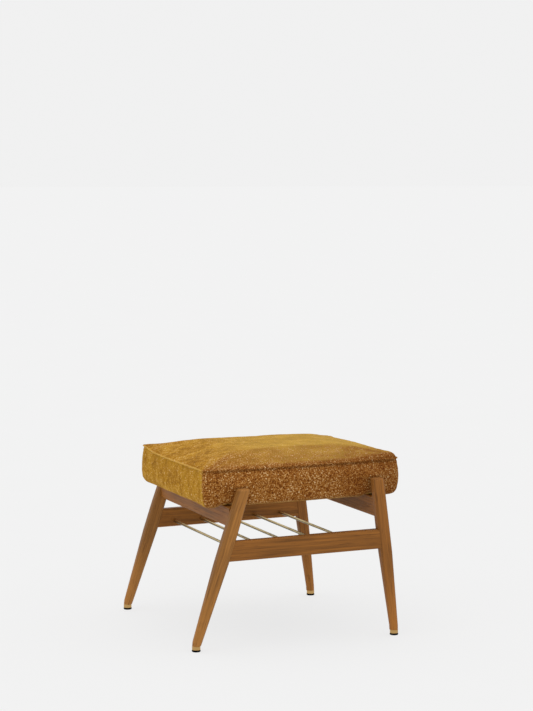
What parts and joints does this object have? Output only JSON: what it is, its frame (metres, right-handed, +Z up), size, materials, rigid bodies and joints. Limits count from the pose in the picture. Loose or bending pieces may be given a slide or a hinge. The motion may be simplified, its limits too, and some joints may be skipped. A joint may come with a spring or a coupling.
{
  "type": "footstool",
  "caption": "Footstool with a box cushion between raked wooden legs and an open magazine shelf of brass rods under it.",
  "frame": {"origin": "on the floor, under the middle of the overall footprint", "axes": "+X to the right, away from the strongly raked legs; +Y to the rear; +Z up"},
  "size_m": [0.5109, 0.512, 0.4121],
  "materials": {
    "stained_wood": "satin lacquer over a warm walnut stain",
    "brass_rod": "brushed",
    "brass_collar": "satin",
    "pad_plastic": "matt",
    "dowel_wood": "raw beech",
    "fixing_steel": "zinc plated",
    "plywood": "raw plywood",
    "foam": "open-cell foam",
    "cover_fabric": "chenille with a mottled pile",
    "dust_cloth": "black non-woven"
  },
  "bodies": {
    "root": {"leg_front_left": "stained_wood", "leg_front_right": "stained_wood", "leg_rear_left": "stained_wood", "leg_rear_right": "stained_wood", "rail_front": "stained_wood", "rail_rear": "stained_wood", "apron_left": "stained_wood", "apron_right": "stained_wood", "rack_rod_1": "brass_rod", "rack_rod_2": "brass_rod", "rack_rod_3": "brass_rod", "rack_rod_4": "brass_rod", "rack_rod_5": "brass_rod", "collar_front_left": "brass_collar", "collar_front_right": "brass_collar", "collar_rear_left": "brass_collar", "collar_rear_right": "brass_collar", "pad_front_left": "pad_plastic", "pad_front_right": "pad_plastic", "pad_rear_left": "pad_plastic", "pad_rear_right": "pad_plastic", "rail_dowels": "dowel_wood", "apron_dowels": "dowel_wood", "collar_screws": "fixing_steel", "seat_screws": "fixing_steel", "cover_staples": "fixing_steel", "seat_board": "plywood", "foam_core": "foam", "cover_top": "cover_fabric", "cover_band": "cover_fabric", "dust_cloth": "dust_cloth"}
  },
  "joints": []
}
